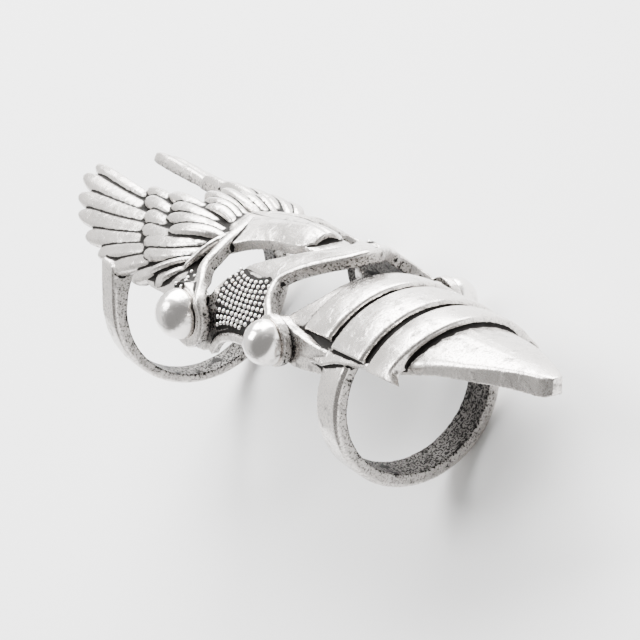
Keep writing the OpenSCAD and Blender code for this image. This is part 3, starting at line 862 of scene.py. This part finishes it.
def base_at(x, a, t):
    """Point of the base plate, which is flat beside the finger where its ears are."""
    r, turn = base_r(x) + t, math.radians(abs(a))
    flat_y = EAR_Y + t + BASE_PARTING * closed(x)
    y = np.sign(a) * np.minimum(r * math.sin(turn), flat_y)
    return np.stack([x, y, rise(x) + r * math.cos(turn)], -1)


def base_plate():
    """The plate that carries the lames."""
    half = smooth(BASE_ROWS, 36)
    rows = np.vstack([half[:0:-1] * [-1, 1, 1], half])
    share = np.linspace(0, 1, 20)

    def row(b, t):
        return base_at(tip_x(mix(b[1], b[2], share)), b[0], t)

    return plate([row(b, BASE_T) for b in rows], [row(b, 0) for b in rows])


def lame(shape):
    """One lame from its row of the table, with its front and back edges eased."""
    rear, front, half_a, rear_rise, front_rise, sweep, lobe = shape
    edge = np.array([0, 0.03, 0.08, 0.2, 0.35, 0.5, 0.65, 0.8, 0.92, 0.97, 1])
    drop = np.array([0.3, 0.08, 0, 0, 0, 0, 0, 0, 0, 0.08, 0.3])

    def row(u, raised):
        corner = lobe * max(0, (abs(u) - 0.86) / 0.14) ** 2
        x = tip_x(mix(rear, front - sweep * u * u + corner, edge))
        belly = LAME_BELLY * np.sin(math.pi * edge)
        crown = BASE_T + LAME_T * mix(rear_rise, front_rise, edge) + belly - drop
        return at(x, half_a * u, base_r(x) + (crown if raised else 0.3 * BASE_T))

    shares = np.linspace(-1, 1, 61)
    return plate([row(u, True) for u in shares], [row(u, False) for u in shares])


def nail():
    """The nail plate, crowned, with upright sides."""
    rings = []
    for share, wide, high, thick in smooth(NAIL, 48):
        x, w, r, t = tip_x(share), NAIL_HALF_W * wide, NAIL_RISE * high, NAIL_T * thick
        low = beside(x, w, r)[2] - t
        ring = [(x, -w * 0.97, low)]
        for u in (-1, -0.97, -0.9, -0.75, -0.5, -0.25, 0, 0.25, 0.5, 0.75, 0.9, 0.97, 1):
            edge = NAIL_EDGE * np.interp(abs(u), [0.86, 0.9, 0.97, 1], [0, 0.18, 0.45, 1])
            ring.append(beside(x, w * u, r - edge + NAIL_CROWN * wide * (1 - u * u)))
        ring.append((x, w * 0.97, low))
        for u in (0.5, 0, -0.5):
            ring.append((x, w * u, beside(x, abs(w * u), r)[2] - t))
        rings.append(ring)
    return loft(rings)


def ear_web():
    """The web that joins an ear to the band."""
    reach = BAND_PITCH - FRONT_BAND_W / 2 - FRONT_PIVOT_X + SINK
    table = smooth(EAR_WEB, 14)

    def column(s, y):
        x = FRONT_PIVOT_X + reach * s[0]
        return [(x, y - s[3], FRONT_PIVOT_Z + EAR_R * mix(s[1], s[2], v)) for v in (0, 0.5, 1)]

    return plate([column(s, EAR_Y + LUG_T) for s in table], [column(s, EAR_Y) for s in table])


tip_forms = [base_plate(), nail()] + [lame(l) for l in LAMES]
tip_forms += both_sides(
    [
        ear_web(),
        across(FRONT_PIVOT_X, FRONT_PIVOT_Z, EAR_R, EAR_Y, EAR_Y + LUG_T),
        band(
            (BAND_PITCH, BAND_RISE),
            FRONT_BORE_R,
            lambda a: FRONT_BORE_R + FRONT_BAND_T,
            FRONT_BAND_W,
            np.linspace(-0.5, 180.5, 100),
        ),
    ]
)
tip = cast("tip_casting", "tip_section", "tip", tip_forms, voxel=0.15, triangles=130000)

# %% [markdown]
# ## Rivets
# Each hinge turns on a pair of rivets with large pearl-like domes. A real dome is turned on a
# lathe, and its shank goes through both plates. Here the dome is a row of rings over a ball's
# curve. Of the shank only the end is modelled, as a small disc on the inside.

# %% Domed rivets
SHANK_R, RUNNING_GAP = 1.0, 0.05
# Each dome's radius at the plate and its height
REAR_DOME, FRONT_DOME = (2.95, 3.4), (2.6, 3.2)


def rivet(name, node, body, pivot, dome, y_out, y_in, far):
    """A dome on the outer plate's face y_out, and its shank's end on the inner one's, y_in."""
    x, z = pivot
    dome_r, dome_h = dome
    seat = y_out + RUNNING_GAP
    turn = np.linspace(0, 2 * math.pi, 64, endpoint=False)
    # The dome is the cap of a ball that stands a little off the plate
    ball_r = (dome_r**2 + dome_h**2) / (2 * dome_h)
    start = math.asin((ball_r - dome_h) / ball_r)
    rings = []
    for t in np.linspace(start, math.radians(88.5), 24):
        r, y = ball_r * math.cos(t), seat + dome_h - ball_r + ball_r * math.sin(t)
        rings.append([(x + r * math.cos(a), y, z + r * math.sin(a)) for a in turn])
    forms = [loft(rings), across(x, z, SHANK_R, y_in - 0.02, y_in + 0.3)]
    if not far:
        forms = [mirrored(f) for f in forms]
    obj = new_object(name, skin_mesh(name, forms))
    obj.data.polygons.foreach_set("use_smooth", [True] * len(obj.data.polygons))
    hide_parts(node)
    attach(obj, body)
    return obj


rear_pivot, front_pivot = (REAR_PIVOT_X, REAR_PIVOT_Z), (FRONT_PIVOT_X, FRONT_PIVOT_Z)
rear_faces = (WING_LUG_Y + LUG_T, LINK_REAR_Y)
front_faces = (LINK_FRONT_Y + LUG_T, EAR_Y)
rivets = []
for far, side in ((False, "near"), (True, "far")):
    for end, body, pivot, dome, faces in (
        ("rear", "wings", rear_pivot, REAR_DOME, rear_faces),
        ("front", "link", front_pivot, FRONT_DOME, front_faces),
    ):
        name, node = end + "_dome_" + side, end + "_rivet_" + side
        rivets.append(rivet(name, node, body, pivot, dome, *faces, far))
print(len(rivets), "rivets")

# %% [markdown]
# ## Antique silver
# The castings are plated, blackened and then polished: the high faces are bright, the recesses
# keep the black oxide, and the walls and insides that the wheel can't reach stay grey and
# speckled. The material reads the two numbers that each casting carries, and fine noise breaks
# up the edge between bright and dark as a hand-polished piece has.


# %% Antique silver
CASTING_SILVER, DOME_SILVER = (0.66, 0.625, 0.595), (0.8, 0.77, 0.745)
OXIDE = (0.005, 0.0042, 0.0035)


def nodes_of(material):
    """An empty node tree for a material."""
    material.use_nodes = True
    tree = material.node_tree
    tree.nodes.clear()
    return tree


def link_nodes(tree, a, out, b, into):
    """Joins one node's output to another's input, both by name."""
    tree.links.new(a.outputs[out], b.inputs[into])


def antique_silver(name, bright, has_recess, roughness):
    """Polished metal under oxide; has_recess says whether the piece carries the two numbers."""
    material = bpy.data.materials.new(name)
    tree = nodes_of(material)
    new = tree.nodes.new
    output, shader = new("ShaderNodeOutputMaterial"), new("ShaderNodeBsdfPrincipled")
    shader.inputs["Specular IOR Level"].default_value = 0.08
    link_nodes(tree, shader, "BSDF", output, "Surface")
    coords = new("ShaderNodeTexCoord")

    def noise(scale, detail):
        node = new("ShaderNodeTexNoise")
        node.inputs["Scale"].default_value = scale
        node.inputs["Detail"].default_value = detail
        link_nodes(tree, coords, "Object", node, "Vector")
        return node.outputs["Fac"]

    def math_node(kind, first, second, clamp=False):
        node = new("ShaderNodeMath")
        node.operation = kind
        node.use_clamp = clamp
        for socket, value in zip(node.inputs, (first, second)):
            if isinstance(value, (int, float)):
                socket.default_value = value
            else:
                tree.links.new(value, socket)
        return node.outputs[0]

    def step_node(value, start, end, full=1.0):
        node = new("ShaderNodeMapRange")
        node.interpolation_type = "SMOOTHSTEP"
        node.inputs["From Min"].default_value = start
        node.inputs["From Max"].default_value = end
        node.inputs["To Max"].default_value = full
        tree.links.new(value, node.inputs["Value"])
        return node.outputs["Result"]

    cloud = noise(260, 4)
    spots = step_node(noise(4200, 3), 0.47, 0.64)
    stains = step_node(noise(700, 5), 0.52, 0.72)
    if has_recess:
        recess, inside = new("ShaderNodeAttribute"), new("ShaderNodeAttribute")
        recess.attribute_name, inside.attribute_name = "recess", "inside"
        deep = math_node("MULTIPLY", recess.outputs["Fac"], math_node("ADD", cloud, 0.65))
        oxide = step_node(deep, 0.13, 0.5)
        pitted = math_node("ADD", math_node("MULTIPLY", spots, 0.8), 0.75)
        walls = math_node("MULTIPLY", inside.outputs["Fac"], pitted)
        worn = math_node("MULTIPLY", math_node("ADD", stains, math_node("MULTIPLY", spots, 0.8)), 0.4)
        dark = math_node("ADD", oxide, math_node("ADD", walls, worn), clamp=True)
    else:
        dark = math_node("MULTIPLY", stains, 0.18, clamp=True)
    colour = new("ShaderNodeMix")
    colour.data_type = "RGBA"
    colour.inputs[6].default_value = (*bright, 1)
    colour.inputs[7].default_value = (*OXIDE, 1)
    tree.links.new(dark, colour.inputs["Factor"])
    tree.links.new(colour.outputs[2], shader.inputs["Base Color"])
    tree.links.new(math_node("SUBTRACT", 1.0, math_node("MULTIPLY", dark, 0.9)), shader.inputs["Metallic"])
    rough = math_node("ADD", math_node("MULTIPLY", dark, 0.35), math_node("MULTIPLY", cloud, roughness * 2))
    tree.links.new(rough, shader.inputs["Roughness"])

    bump = new("ShaderNodeBump")
    bump.inputs["Strength"].default_value = 0.5
    bump.inputs["Distance"].default_value = 0.0002
    tree.links.new(math_node("ADD", cloud, math_node("MULTIPLY", stains, 0.3)), bump.inputs["Height"])
    link_nodes(tree, bump, "Normal", shader, "Normal")
    return material


silver = antique_silver("antique_silver", CASTING_SILVER, True, 0.2)
dome_silver = antique_silver("polished_dome", DOME_SILVER, False, 0.2)
for obj in (wings, link, tip):
    obj.data.materials.append(silver)
for obj in [link_beads, wing_beads] + rivets:
    obj.data.materials.append(dome_silver)

# %% [markdown]
# ## Camera
# The camera stands where the photograph's stood relative to the ring. The worn pose gives that as
# an angle round the ring, an angle above it and a distance. The same turn that laid the ring down
# is then applied to the camera, so the picture shows the ring at the photograph's angle.

# %% Camera
CAMERA_AZ, CAMERA_EL, CAMERA_ROLL = math.radians(59.0), math.radians(22.35), math.radians(0.3)
CAMERA_D, CAMERA_LENS, SENSOR = 454.5, 209.7, 36.0
CAMERA_SHIFT = (-14.956, 3.702)


def camera_axes():
    """The camera's right, up and back in the worn pose."""
    back = np.array(
        [
            math.sin(CAMERA_AZ) * math.cos(CAMERA_EL),
            -math.cos(CAMERA_AZ) * math.cos(CAMERA_EL),
            math.sin(CAMERA_EL),
        ]
    )
    right = np.cross([0, 0, 1], back)
    right /= np.linalg.norm(right)
    up = np.cross(back, right)
    c, s = math.cos(CAMERA_ROLL), math.sin(CAMERA_ROLL)
    return c * right + s * up, c * up - s * right, back


right, up, back = camera_axes()
place = lay(CAMERA_D * back - CAMERA_SHIFT[0] * right - CAMERA_SHIFT[1] * up) * MM
axes = np.array([lay(right), lay(up), lay(back)])
camera = bpy.data.objects.new("camera", bpy.data.cameras.new("camera"))
bpy.context.scene.collection.objects.link(camera)
matrix = np.eye(4)
matrix[:3, :3] = axes.T
matrix[:3, 3] = place
camera.matrix_world = Matrix(matrix.tolist())
camera.data.lens = CAMERA_LENS
camera.data.sensor_width = SENSOR
camera.data.clip_start, camera.data.clip_end = 0.01, 20
bpy.context.scene.camera = camera
print("camera at, metres:", [round(float(v), 3) for v in place])

# %% [markdown]
# ## Table
# The ring lies on its far side on a plain pale table, which is one matt square under its lowest
# point. It is large, so that its edge never shows in a reflection.

# %% Table
TABLE_HALF = 3.0
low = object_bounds()[0]
floor_mesh = bpy.data.meshes.new("table")
corners = [(a * TABLE_HALF, b * TABLE_HALF) for a, b in ((-1, -1), (1, -1), (1, 1), (-1, 1))]
floor_mesh.from_pydata([(x, y, low[2]) for x, y in corners], [], [(0, 1, 2, 3)])
table = new_object("table", floor_mesh)
paper = bpy.data.materials.new("pale_paper")
paper.use_nodes = True
paper.node_tree.nodes["Principled BSDF"].inputs["Base Color"].default_value = (0.9, 0.9, 0.9, 1)
paper.node_tree.nodes["Principled BSDF"].inputs["Roughness"].default_value = 0.9
table.data.materials.append(paper)
print("table at height, metres:", round(low[2], 5))

# %% [markdown]
# ## Studio light
# Polished metal shows mostly what stands round it. So the surroundings are bright behind and above
# the ring and dimmer towards the camera, as a photographer's white sheets leave them, and two
# square softboxes lay the broad highlights.


# %% Studio light
# The dim side of the studio, by the camera's back and up, and how bright each side is
DIM_BACK, DIM_UP = 0.85, -0.52
BRIGHT_SIDE, DIM_SIDE = 1.8, 0.38


def studio_world():
    """Surroundings that are bright behind and above the ring and darker towards the camera."""
    world = bpy.data.worlds.new("studio")
    world.use_nodes = True
    tree = world.node_tree
    coords, toward = tree.nodes.new("ShaderNodeTexCoord"), tree.nodes.new("ShaderNodeVectorMath")
    toward.operation = "DOT_PRODUCT"
    toward.inputs[1].default_value = lay(DIM_BACK * back + DIM_UP * up)
    ramp = tree.nodes.new("ShaderNodeMapRange")
    ramp.interpolation_type = "SMOOTHSTEP"
    ramp.inputs["From Min"].default_value = -0.25
    ramp.inputs["From Max"].default_value = 0.5
    ramp.inputs["To Min"].default_value = BRIGHT_SIDE
    ramp.inputs["To Max"].default_value = DIM_SIDE
    tree.links.new(coords.outputs["Generated"], toward.inputs[0])
    tree.links.new(toward.outputs["Value"], ramp.inputs["Value"])
    tree.links.new(ramp.outputs["Result"], tree.nodes["Background"].inputs["Strength"])
    tree.nodes["Background"].inputs["Color"].default_value = (1, 0.995, 0.985, 1)
    bpy.context.scene.world = world


studio_world()

# Middle of the ring on the chart, where the lights aim
MIDDLE = (30, 0, 5)


def softbox(name, direction, distance, size, power):
    """Square soft light; direction is in the camera's right, up and back."""
    aim = lay(MIDDLE) * MM
    where = aim + (np.array(direction) @ axes) / np.linalg.norm(direction) * distance
    light = bpy.data.lights.new(name, "AREA")
    light.size = size
    light.energy = power
    obj = bpy.data.objects.new(name, light)
    bpy.context.scene.collection.objects.link(obj)
    obj.location = where
    obj.rotation_euler = Vector(aim - where).to_track_quat("-Z", "Y").to_euler()
    return obj


softbox("top_softbox", (-0.2, 1.0, -0.1), 0.6, 0.6, 24.0)
softbox("left_softbox", (-1.0, 0.5, 0.2), 0.6, 0.3, 5.0)
